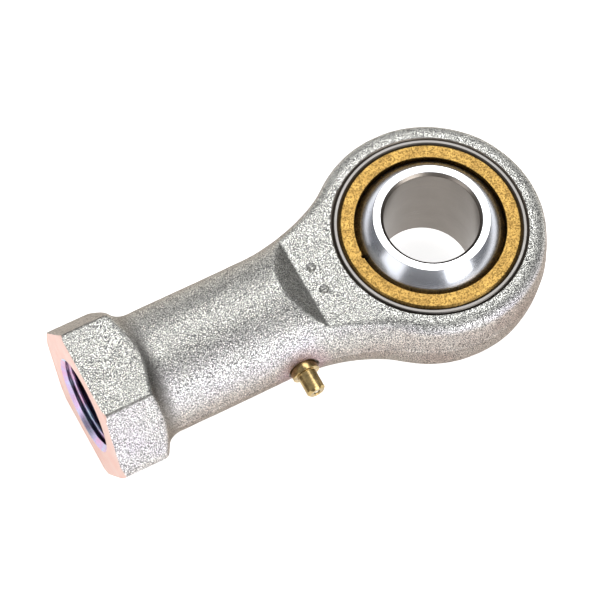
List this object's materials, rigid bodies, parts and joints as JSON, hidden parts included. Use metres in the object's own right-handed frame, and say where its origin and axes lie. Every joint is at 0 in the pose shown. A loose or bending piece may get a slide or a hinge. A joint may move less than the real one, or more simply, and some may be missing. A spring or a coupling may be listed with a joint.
{
  "type": "rod end bearing",
  "caption": "Female rod end with a spherical plain bearing: a bronze-lined eye holds a pivoting ball for a pin, and a hexagonal shank end with an internal thread takes a rod.",
  "frame": {"origin": "centre of the ball, midway between its two flat faces on the axis of the bore", "axes": "+Z along the bore, +X from the threaded end towards the eye, the grease nipple points towards -Y"},
  "size_m": [0.1055, 0.05, 0.0292],
  "materials": {
    "zinc_steel": "shot-blasted forging, bright zinc plated",
    "ring_steel": "fine turned",
    "bronze": "satin, fine turned",
    "bearing_steel": "polished sphere, ground faces and bore",
    "nipple_brass": "turned, slightly dulled",
    "spring_steel": "drawn wire"
  },
  "bodies": {
    "housing": {"housing": "zinc_steel", "outer_ring": "ring_steel", "race": "bronze", "nipple_body": "nipple_brass", "nipple_spring": "spring_steel"},
    "ball": {"inner_ring": "bearing_steel"},
    "check_ball": {"nipple_ball": "bearing_steel"}
  },
  "joints": [
    {"name": "ball_swivel", "type": "hinge", "parent": "housing", "child": "ball", "pos_m": [0, 0, 0], "axis": [0, 0, 1], "continuous": true},
    {"name": "check_ball_lift", "type": "slide", "parent": "housing", "child": "check_ball", "axis": [0, 1, 0], "range_m": [0, 0.0008], "stiffness_N_per_m": 300, "springref_m": -0.002, "deforming": ["nipple_spring"]}
  ]
}
